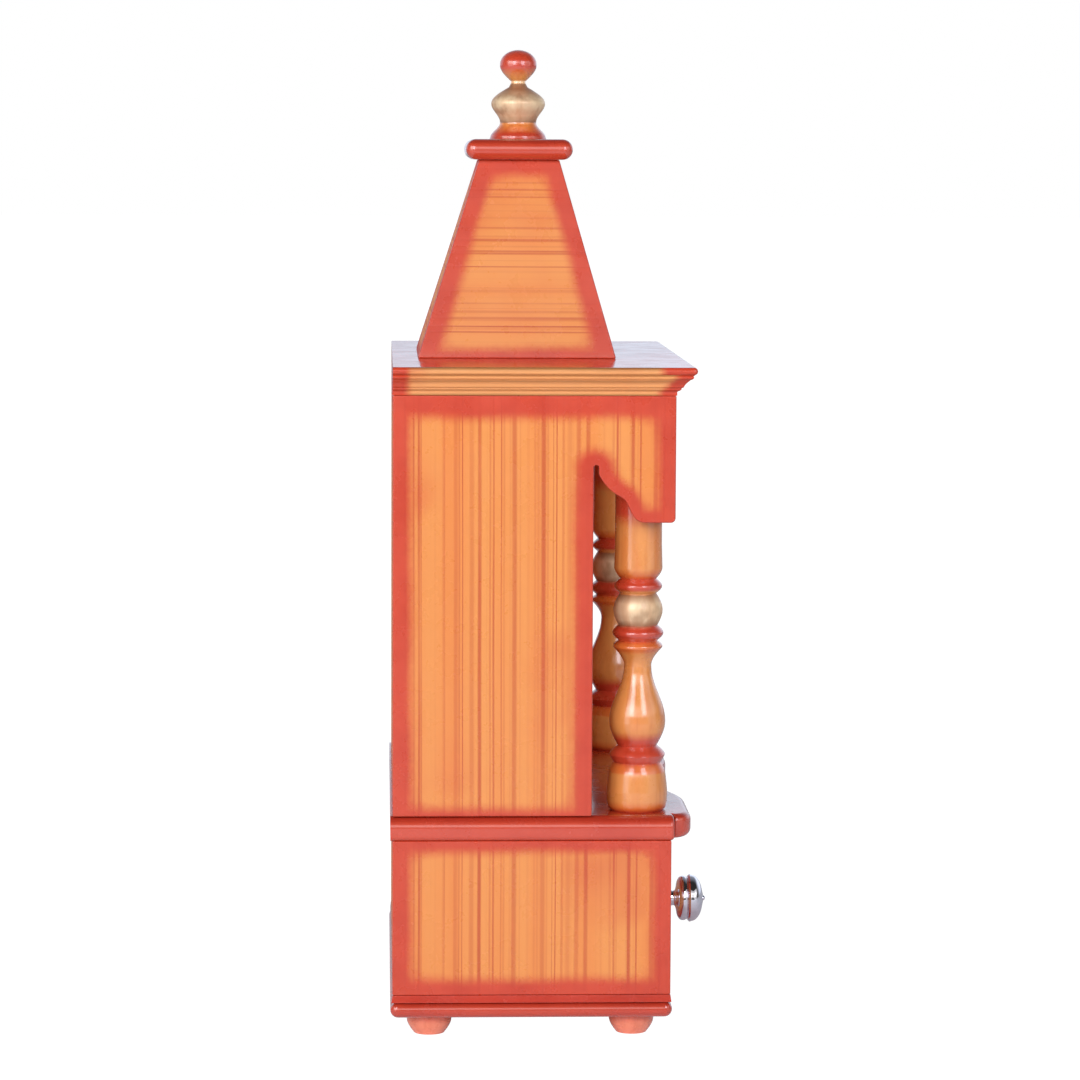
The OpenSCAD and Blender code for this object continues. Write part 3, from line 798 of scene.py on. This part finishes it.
side_panel_left = carved_board("side_panel_left", PANEL_EASED, (1, 2), head=-2.5, foot=6.5)
finish_both_sides(side_panel_left, veneer_upright, "side_panel_left")
front_arch = carved_board("front_arch", ARCH_EASED, (0, 2))
finish_piece(front_arch, veneer_upright, "front_arch")
print("side panel has", len(side_panel_left.data.polygons), "faces")

# %% [markdown]
# ## Tower boards
# Four tapered boards lean together. The front and back ones run over the edges of the side ones,
# so a narrow strip of edge shows at each hip. Their grain lies level, because the boards are cut
# across the sheet.

# %% Tower
TOWER_EASED = 0.9

for node, axes, material in (("tower_left", (1, 2), veneer_level),
                             ("tower_right", (1, 2), veneer_level),
                             ("tower_front", (0, 2), veneer_wide),
                             ("tower_back", (0, 2), thin_wide)):
    tapered = carved_board(node, TOWER_EASED, axes, foot=5.0)
    finish_piece(tapered, material, node)
print("last tower board has", len(tapered.data.polygons), "faces")

# %% [markdown]
# ## Round-edged boards
# The base board and the tower's cap have a full half-round edge, so their bevel is as wide as
# half their thickness, less a hair so that its two sides don't meet. The edges of a round are
# picked by a small test on the middle and the direction of each edge.

# %% Base and cap
HALF_ROUND = 0.498


def round_edges(piece, radius, segments, wanted):
    open_piece(piece, "DESELECT")
    close_piece()
    for edge in piece.data.edges:
        a, b = (piece.data.vertices[v].co for v in edge.vertices)
        edge.select = bool(wanted((a + b) / 2, b - a))
    bpy.ops.object.mode_set(mode="EDIT")
    bpy.ops.mesh.bevel(offset=radius, segments=segments, affect="EDGES", clamp_overlap=True)
    close_piece()


def rounded_board(node, segments):
    low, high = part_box(node)
    piece = block_between(node + "_rounded", low, high)
    round_edges(piece, (high.z - low.z) * HALF_ROUND, segments, lambda middle, along: True)
    smooth_piece(piece)
    finish_piece(piece, red_lacquer, node)
    return piece


base = rounded_board("base_board", 8)
rounded_board("tower_cap", 10)
print("base board is", round(base.dimensions.z / MM, 2), "mm thick")

# %% [markdown]
# The strips along the deck have a wide round above and a narrow one below, and no round on the
# side where they are glued to the deck. The long rounds come first. If the end were rounded
# first, its small arc would hold the wide round back.

# %% Deck strips
STRIP_TOP_ROUND = 7.6 * MM
STRIP_BOTTOM_ROUND = 3.2 * MM
STRIP_END_ROUND = 2.2 * MM
NEAR = 0.1 * MM

strip_low, strip_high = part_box("deck_edge_left")


def is_outer(middle):
    return middle.x < strip_high.x - MM


def runs_along(middle, along):
    return abs(along.y) > 10 * MM and is_outer(middle)


def strip_top(middle, along):
    return runs_along(middle, along) and middle.z > strip_high.z - NEAR


def strip_bottom(middle, along):
    return runs_along(middle, along) and middle.z < strip_low.z + NEAR


def strip_end(middle, along):
    return middle.y < strip_low.y + NEAR and is_outer(middle)


strip_left = block_between("deck_edge_left_strip", strip_low, strip_high)
round_edges(strip_left, STRIP_TOP_ROUND, 10, strip_top)
round_edges(strip_left, STRIP_BOTTOM_ROUND, 5, strip_bottom)
round_edges(strip_left, STRIP_END_ROUND, 4, strip_end)
smooth_piece(strip_left)
finish_both_sides(strip_left, red_lacquer, "deck_edge_left")
print("deck strip has", len(strip_left.data.polygons), "faces")

# %% [markdown]
# ## Deck and fillet
# The deck's front swings out in two lobes. The board keeps its sawn outline, and a wide round
# runs along its lower front edge with a slightly smaller one above. The fillet below the box
# only leans outwards, so its edges are barely broken.

# %% Deck and base fillet
DECK_LOWER_ROUND = 6.0 * MM
DECK_UPPER_ROUND = 4.8 * MM
FILLET_EASED = 0.4

deck_low, deck_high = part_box("deck_board")


def on_lobes(middle, along):
    return abs(along.z) < 0.01 * MM and middle.y < strip_low.y - 0.05 * MM


def lobe_bottom(middle, along):
    return on_lobes(middle, along) and middle.z < (deck_low.z + deck_high.z) / 2


def lobe_top(middle, along):
    return on_lobes(middle, along) and middle.z > deck_high.z - NEAR


deck = carved_copy("deck_board_carved", "deck_board", flat=0.2)
round_edges(deck, DECK_LOWER_ROUND, 7, lobe_bottom)
round_edges(deck, DECK_UPPER_ROUND, 7, lobe_top)
smooth_piece(deck, 50)
fillet = carved_copy("base_fillet_strip", "base_fillet")
ease_edges(fillet, FILLET_EASED * MM, segments=2)
smooth_piece(fillet)
finish_piece(deck, red_lacquer_deck, "deck_board")
# The fillet gets the deeper red, painted shade for its recess under the box.
finish_piece(fillet, red_lacquer_shaded, "base_fillet")
print("deck reaches", round((strip_low.y - deck_low.y) / MM, 1), "mm beyond its strips")

# %% [markdown]
# ## Crown moulding
# The crown is a run of moulding, mitred at the two front corners. Its section is exact in the
# frame, so it is copied, and only its finish is new: orange with grain along its length, and red
# sprayed over both ends. Here the rim is the distance along the run, measured to the mitre at one
# end and to the sawn end at the other.

# %% Crown
CROWN_PITCH = 5.0

panel_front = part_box("front_arch")[0].y
half_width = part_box("side_panel_right")[1].x


def run_of_crown(node, points):
    from_middle = np.abs(points[:, 0])
    if node == "crown_front":
        reach = np.maximum(panel_front - points[:, 1], 0)
        return half_width + reach - from_middle
    reach = np.maximum(from_middle - half_width, 0)
    return np.minimum(points[:, 1] - (panel_front - reach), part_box(node)[1].y - points[:, 1])


for node, axis, material in (("crown_left", 1, crown_long), ("crown_right", 1, crown_long),
                             ("crown_front", 0, crown_wide)):
    crown = carved_copy(node + "_moulding", node, flat=0.2)
    net_cuts(crown, (axis,), CROWN_PITCH * MM)
    write_rim(crown, np.maximum(run_of_crown(node, points_of(crown)), 0))
    smooth_piece(crown, 25)
    finish_piece(crown, material, node)
print("front length of the crown has", len(crown.data.polygons), "faces")

# %% [markdown]
# The cornice board lies on the crown and shares its finish at the edge. Its half-round nose is a
# bevel on three sides only, because the back is sawn off flush. On top it is red, so the rim is
# zero there; round the nose it is the distance to the nearest corner or sawn end.

# %% Cornice board
CORNER_RED = 11 * MM
CORNICE_PITCH = 6.0

cornice_low, cornice_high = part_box("cornice_board")
nose = (cornice_high.z - cornice_low.z) * HALF_ROUND
cornice = block_between("cornice_board_rounded", cornice_low, cornice_high)
round_edges(cornice, nose, 8, lambda middle, along: middle.y < cornice_high.y - MM)
net_cuts(cornice, (0, 1), CORNICE_PITCH * MM)
cornice_points = points_of(cornice)
from_side = cornice_high.x - np.abs(cornice_points[:, 0])
from_front = cornice_points[:, 1] - cornice_low.y
from_back = cornice_high.y - cornice_points[:, 1]
along_side = np.minimum(from_front - CORNER_RED, from_back)
along_front = from_side - CORNER_RED
run = np.where(from_side < from_front, along_side, along_front)
on_nose = np.minimum(from_side, from_front) < nose - 0.05 * MM
write_rim(cornice, np.where(on_nose, np.maximum(run, 0), 0))
smooth_piece(cornice)
finish_piece(cornice, crown_long, "cornice_board")
print("cornice nose radius", round(nose / MM, 2), "mm")

# %% [markdown]
# ## Reading a turned outline
# The outline of each turned piece is read from its solid: all its points lie on circles round
# one axis, so every point gives a radius and a height. Sorted by height, they are the outline.
# It starts and ends on the axis, so that the turned piece is closed.

# %% Read the outline of a turned solid
SAME_POINT = 0.03 * MM


def middle_of(node):
    low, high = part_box(node)
    return (low + high) / 2


def radii_by_height(node, axis):
    points = points_of(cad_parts[node])
    centre = middle_of(node)
    a, b = [i for i in range(3) if i != axis]
    radius = np.hypot(points[:, a] - centre[a], points[:, b] - centre[b])
    rings = {}
    for h, r in sorted(set(zip(np.round(points[:, axis], 5), np.round(radius, 5)))):
        rings.setdefault(h, []).append(r)
    return rings


def turned_outline(node, axis):
    rings = radii_by_height(node, axis)
    bottom, top = min(rings), max(rings)
    outline = []
    for h, radii in rings.items():
        if h == bottom:
            radii = [0.0, radii[-1]]
        elif h == top:
            radii = [radii[-1], 0.0]
        elif outline and outline[-1][0] > radii[0]:
            radii = radii[::-1]
        outline += [(r, h) for r in radii]
    kept = outline[:1]
    for r, h in outline[1:]:
        if math.hypot(r - kept[-1][0], h - kept[-1][1]) > SAME_POINT:
            kept.append((r, h))
    return kept


print("pillar outline in the frame has", len(turned_outline("pillar_left", 2)), "points")

# %% [markdown]
# ## The lathe
# The outline is drawn as a turner would hold a template beside the wood. A tiny plane is merged
# into one point, and that point is extruded from place to place, which leaves a line of edges.
# The line is then spun once round the axis. Grooves stay crisp because only shallow angles are
# shaded as smooth.

# %% Draw an outline and spin it
LATHE_STEPS = 72
SEAM_WITHIN = 0.01 * MM


def draw_line(name, points):
    bpy.ops.object.select_all(action="DESELECT")
    bpy.ops.mesh.primitive_plane_add(size=MM, location=points[0], calc_uvs=False)
    bpy.ops.object.transform_apply()
    line = bpy.context.object
    line.name = line.data.name = name
    open_piece(line)
    bpy.ops.mesh.select_mode(type="VERT")
    bpy.ops.mesh.merge(type="CENTER")
    for here, there in zip(points, points[1:]):
        bpy.ops.mesh.extrude_region_move(TRANSFORM_OT_translate={"value": there - here})
    close_piece()
    return line


def lathe(node, axis=2, outline=None):
    name = node + "_turned"
    centre = middle_of(node)
    points = []
    for radius, height in outline or turned_outline(node, axis):
        point = Vector(centre)
        point[axis] = height
        point.x += radius
        points.append(point)
    piece = draw_line(name, points)
    open_piece(piece)
    bpy.ops.mesh.spin(steps=LATHE_STEPS, angle=2 * math.pi, center=centre, axis=along_axis(axis))
    bpy.ops.mesh.select_all(action="SELECT")
    bpy.ops.mesh.remove_doubles(threshold=SEAM_WITHIN)
    bpy.ops.mesh.normals_make_consistent(inside=False)
    close_piece()
    smooth_piece(piece, 38)
    return piece


def moved_copy(piece, node, other):
    return copy_of(other + "_turned", piece, Matrix.Translation(middle_of(other) - middle_of(node)))


print("lathe ready with", LATHE_STEPS, "steps to a turn")

# %% [markdown]
# Two outlines are drawn a little fuller than the frame has them: the shoulder of the pillar's
# foot, and the head of the knob. A smooth curve through a few points is how a turner reads a
# template, so one helper draws such a curve, and another sets it into an outline between its
# own two ends. Every point is a height and a radius in millimetres.

# %% Redraw a stretch of an outline
def between(a, b, c, d, t):
    bend = 2 * a - 5 * b + 4 * c - d
    twist = 3 * b - a - 3 * c + d
    return (2 * b + (c - a) * t + bend * t ** 2 + twist * t ** 3) / 2


def curve_through(points, steps=5):
    points = np.array(points, dtype=float)
    ends = np.vstack((2 * points[0] - points[1], points, 2 * points[-1] - points[-2]))
    curve = []
    for a, b, c, d in zip(ends, ends[1:], ends[2:], ends[3:]):
        curve += [between(a, b, c, d, t) for t in np.arange(steps) / steps]
    return [tuple(point) for point in (*curve, points[-1])]


def redraw(outline, start, direction, curve):
    first, last = curve[0][0], curve[-1][0]
    below, above = [], []
    for radius, height in outline:
        along = (height - start) * direction / MM
        if along < first - 0.1:
            below.append((radius, height))
        elif along > last + 0.1:
            above.append((radius, height))
    drawn = [(radius * MM, start + direction * height * MM) for height, radius in curve]
    return below + drawn + above if direction > 0 else above + drawn[::-1] + below


print("a curve through three points has", len(curve_through([(0, 0), (1, 1), (2, 0)])), "points")

# %% [markdown]
# ## Pillars
# A pillar stands on a round-shouldered block. Above it come a ring, the vase, a ring, the gilt
# ball, a ring and the plain shaft. One is turned on the lathe and copied to the other side.

# %% Pillars
PILLAR_TURNED_HEIGHT = 260 * MM
SHOULDER = ((12, 19), (18, 18.4), (24, 17.55), (27, 16.4), (29.9, 14.9))
RING_FOOT = ((29.9, 14.9), (31.6, 16.0), (34.7, 17.5))
PILLAR_GOLD = [(115.8, 135.6)]
# The gilt ball fades to dark gold over its lowest 4 mm and its top 5 mm: painted shade where it
# curves away from the light.
pillar_rings = [(0, RED), (2.5, ORANGE_DEEP), (7, ORANGE), (23.4, ORANGE), (24.4, ORANGE_DEEP),
                (28, ORANGE_DEEP), (30.5, RED), (44.5, RED), (50, ORANGE), (98.6, ORANGE),
                (100.6, ORANGE_DEEP), (105, ORANGE_DEEP), (107, RED), (115.6, RED),
                (115.9, GOLD_DARK), (120, GOLD), (130, GOLD), (135, GOLD_DARK), (135.8, ORANGE),
                (137.4, ORANGE), (138.6, RED), (144.6, RED), (147, ORANGE_DEEP), (152, ORANGE),
                (177, ORANGE), (186, RED), (258, RED)]

pillar_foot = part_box("pillar_left")[0].z
pillar_curve = curve_through(SHOULDER) + curve_through(RING_FOOT)[1:]
pillar_outline = redraw(turned_outline("pillar_left", 2), pillar_foot, 1, pillar_curve)
turned_pillar = turned_finish("turned_pillar", pillar_foot, PILLAR_TURNED_HEIGHT, pillar_rings,
                              PILLAR_GOLD)
pillar_left = lathe("pillar_left", outline=pillar_outline)
pillar_right = moved_copy(pillar_left, "pillar_left", "pillar_right")
finish_piece(pillar_left, turned_pillar, "pillar_left")
finish_piece(pillar_right, turned_pillar, "pillar_right")
print("pillar outline has", len(pillar_outline), "points")

# %% [markdown]
# ## Finial
# The finial is turned in the same way, with rings of its own: its ball is red with an orange
# underside, its body is gold, and its foot goes from orange to red.

# %% Finial
FINIAL_HEIGHT = 58 * MM
FINIAL_GOLD = [(10.9, 35.8)]
CREAM = paint(250, 204, 152)
# The gold body fades to dark gold at its foot and from 32 mm up to the collar: painted shade where it
# turns away from the light.
finial_rings = [(0, RED), (3.5, RED), (6.5, ORANGE_DEEP), (10.4, ORANGE), (11, GOLD_DARK),
                (15, GOLD), (26, GOLD), (32, GOLD_DARK), (35, GOLD_DARK), (36, CREAM),
                (37.3, CREAM), (38, ORANGE), (39.5, ORANGE), (46, RED), (57, RED)]

finial_low, finial_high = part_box("finial")
turned_finial = turned_finish("turned_finial", finial_low.z, FINIAL_HEIGHT, finial_rings, FINIAL_GOLD)
finial = lathe("finial")
finish_piece(finial, turned_finial, "finial")
print("finial", round((finial_high.z - finial_low.z) / MM, 1), "mm tall on its cap")

# %% [markdown]
# ## Feet
# A bun foot is sprayed red where it meets the base and left a peach orange below. One is turned
# and copied to the other three corners.

# %% Feet
FOOT_HEIGHT = 14.2 * MM
FOOT_PEACH = paint(246, 140, 104)
FOOT_RED = paint(232, 96, 66)
foot_rings = [(0, FOOT_PEACH), (7.5, FOOT_PEACH), (11.8, FOOT_RED), (12.6, RED_DEEP), (14, RED_DEEP)]

turned_foot = turned_finish("turned_foot", 0.0, FOOT_HEIGHT, foot_rings, [])
foot = lathe("foot_front_left")
finish_piece(foot, turned_foot, "foot_front_left")
for node in ("foot_front_right", "foot_rear_left", "foot_rear_right"):
    finish_piece(moved_copy(foot, "foot_front_left", node), turned_foot, node)
print("a foot has", len(foot.data.polygons), "faces")

# %% [markdown]
# ## Knob
# The knob is turned too, on an axis that points out of the drawer. A flared stem carries a
# domed head with a groove round its rim and a small nub in the middle.

# %% Knob
KNOB_BACK = ((10, 5.2), (13.6, 5), (14.7, 7.4), (15.5, 11.4), (17.2, 14), (19.6, 14.7), (21.9, 13.8))
KNOB_LIP = ((22.1, 13.5), (22.4, 14.6), (23.6, 15.7))
KNOB_DOME = ((23.6, 15.7), (27.6, 14.2), (30.7, 10), (32.4, 3.4), (32.7, 1.6))
KNOB_NUB = ((33.2, 1.6), (33.8, 1), (34, 0))

knob_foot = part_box("drawer_knob")[1].y
knob_curve = curve_through(KNOB_BACK) + curve_through(KNOB_LIP, 4)
knob_curve += curve_through(KNOB_DOME, 7)[1:] + curve_through(KNOB_NUB, 3)
knob_outline = redraw(turned_outline("drawer_knob", 1), knob_foot, -1, knob_curve)
knob = lathe("drawer_knob", axis=1, outline=knob_outline)
finish_piece(knob, knob_chrome, "drawer_knob", "drawer")
print("knob axis is", round(middle_of("drawer_knob").z / MM, 1), "mm above the floor")

# %% [markdown]
# ## Floor
# The shrine stands on a plain pale floor. To the eye it is lit almost evenly, so that it runs into
# the pale room without a line, while the light it throws back up stays that of a plain floor.

# %% Floor
FLOOR_SIZE = 60
FLOOR_GREY = (0.74, 0.74, 0.76, 1)
FLOOR_PALE = (0.79, 0.79, 0.81, 1)
FLOOR_GLOW = (0.88, 0.92, 1.0, 1)

floor_finish, tree, shader = start_finish("pale_floor")
speckle = stretched_noise(tree, 3, detail=4)
fill_sockets(tree, shader, Base_Color=mix_paint(tree, speckle, FLOOR_GREY, FLOOR_PALE),
             Roughness=0.65, Emission_Color=FLOOR_GLOW, Emission_Strength=0.08)
lit = add_node(tree, "ShaderNodeEmission", Color=WHITE, Strength=1.15)
to_eye = times(tree, add_node(tree, "ShaderNodeLightPath").outputs["Is Camera Ray"], 0.9)
blend = add_node(tree, "ShaderNodeMixShader", i0=to_eye, i1=shader.outputs[0], i2=lit.outputs[0])
tree.links.new(blend.outputs[0], tree.nodes["Material Output"].inputs["Surface"])
bpy.ops.object.select_all(action="DESELECT")
bpy.ops.mesh.primitive_plane_add(size=FLOOR_SIZE, location=(0, 0, 0))
floor = bpy.context.object
floor.name = "studio_floor"
floor.data.materials.append(floor_finish)
floor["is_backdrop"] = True
print("floor laid,", FLOOR_SIZE, "metres wide")

# %% [markdown]
# ## Lights
# Two tall soft boxes stand to either side of the camera, which is why every turned piece shows a
# pair of upright streaks. A wide bright panel stands further round towards the shrine's back, a
# weaker one towards its front, and a small weak one faces the drawer, for the knob to mirror.
# Each is placed by its distance and its degrees round from straight out of the left side.

# %% Lights
LAMP_AIM = Vector((0, 0, 0.4))
COOL = (0.93, 0.98, 1.12)


def around(distance, degrees, height):
    turn = math.radians(180 - degrees)
    return Vector((distance * math.cos(turn), distance * math.sin(turn), height))


def soft_box(name, place, width, height, power, colour=(1, 1, 1)):
    lamp = bpy.data.lights.new(name, "AREA")
    lamp.shape = "RECTANGLE"
    lamp.size = width
    lamp.size_y = height
    lamp.energy = power
    lamp.color = colour
    holder = bpy.data.objects.new(name, lamp)
    bpy.context.collection.objects.link(holder)
    holder.location = place
    holder.rotation_euler = (LAMP_AIM - place).to_track_quat("-Z", "Y").to_euler()


soft_box("soft_box_back", around(1.7, 26, 1.035), 0.6, 0.95, 8.5, COOL)
soft_box("soft_box_front", around(1.7, -27, 1.035), 0.6, 0.95, 8.5, COOL)
soft_box("white_wall", around(2.4, 52, 0.9), 1.6, 1.8, 13)
soft_box("pale_wall", around(2.4, -58, 0.9), 1.6, 1.8, 5)
soft_box("soft_box_door", around(2.0, -80, 0.9), 0.7, 0.7, 0.8)

# %% [markdown]
# ## Pale room
# What the lacquer mirrors is the room. Beyond the shrine stands a cool bright wall that fades
# upwards, and the level boards mirror it. On the camera's side there is only a band of light
# above eye level, which the round mouldings catch, so the upright boards keep their colour. Both
# depend on nothing but the direction. The eye itself sees plain white.

# %% Pale room
WARM_LIGHT = (1.0, 0.98, 0.96, 1)
COOL_LIGHT = (0.84, 0.93, 1.08, 1)

room = bpy.data.worlds.new("pale_room")
bpy.context.scene.world = room
room.use_nodes = True
tree = room.node_tree
tree.nodes.clear()
heading = parts_of(tree, add_node(tree, "ShaderNodeTexCoord").outputs["Generated"])
wall = soft_step(tree, heading["X"], 0.1, 0.75, 0.1, 1.1)
wall = times(tree, wall, soft_step(tree, heading["Z"], 0.65, 0.25, 0.25, 1.0))
wall = times(tree, wall, soft_step(tree, heading["Y"], -0.15, 0.1, 1.05, 0.8))
bank = soft_step(tree, heading["Z"], 0.13, 0.2, 0, 1.9)
bank = times(tree, bank, soft_step(tree, heading["Z"], 0.55, 0.42))
bank = times(tree, bank, soft_step(tree, heading["X"], -0.05, -0.4))
bank = times(tree, bank, soft_step(tree, heading["Y"], -0.75, 0.6, 0.35, 1.5))
tint = mix_paint(tree, soft_step(tree, heading["X"], 0.0, 0.5), WARM_LIGHT, COOL_LIGHT)
glow = add_node(tree, "ShaderNodeBackground", Color=tint, Strength=plus(tree, wall, bank))
seen = add_node(tree, "ShaderNodeBackground", Color=WHITE, Strength=1.0)
by_eye = add_node(tree, "ShaderNodeLightPath").outputs["Is Camera Ray"]
both = add_node(tree, "ShaderNodeMixShader", i0=by_eye, i1=glow.outputs[0], i2=seen.outputs[0])
add_node(tree, "ShaderNodeOutputWorld", Surface=both.outputs[0])
bpy.context.scene.view_settings.view_transform = "Standard"
print("room made of", len(tree.nodes), "nodes")

# %% [markdown]
# ## Camera
# The shrine is seen square on to its left side, from slightly above and far away, through a long
# lens, so that its upright lines stay nearly parallel. The camera's own axes are worked out from
# how far it is turned, tipped and rolled.

# %% Camera
TURNED, TIPPED, ROLLED = 2.332, 5.662, 0.253
EYE_PLACE = (-2.5493, 0.10985, 0.5485)
SENSOR_WIDTH = 36
LENS = 130.94

yaw, pitch, roll = (math.radians(angle) for angle in (TURNED, TIPPED, ROLLED))
ahead = Vector((math.cos(pitch) * math.cos(yaw), -math.cos(pitch) * math.sin(yaw), -math.sin(pitch)))
level_right = Vector((-math.sin(yaw), -math.cos(yaw), 0))
level_up = level_right.cross(ahead)
right = math.cos(roll) * level_right + math.sin(roll) * level_up
up = math.cos(roll) * level_up - math.sin(roll) * level_right
eye = bpy.data.cameras.new("camera")
eye.sensor_width = SENSOR_WIDTH
eye.lens = LENS
eye.clip_start = 0.05
eye.clip_end = 80
camera = bpy.data.objects.new("camera", eye)
bpy.context.collection.objects.link(camera)
facing = Matrix((right, up, -ahead)).transposed().to_4x4()
camera.matrix_world = Matrix.Translation(EYE_PLACE) @ facing
bpy.context.scene.camera = camera
print("lens", round(eye.lens, 1), "mm")

# %% Compare the model's box with the frame's
model_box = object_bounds()
gaps = [abs(a - b) for old, new in zip(frame_box, model_box) for a, b in zip(old, new)]
print("largest difference:", round(max(gaps) / MM, 3), "mm")
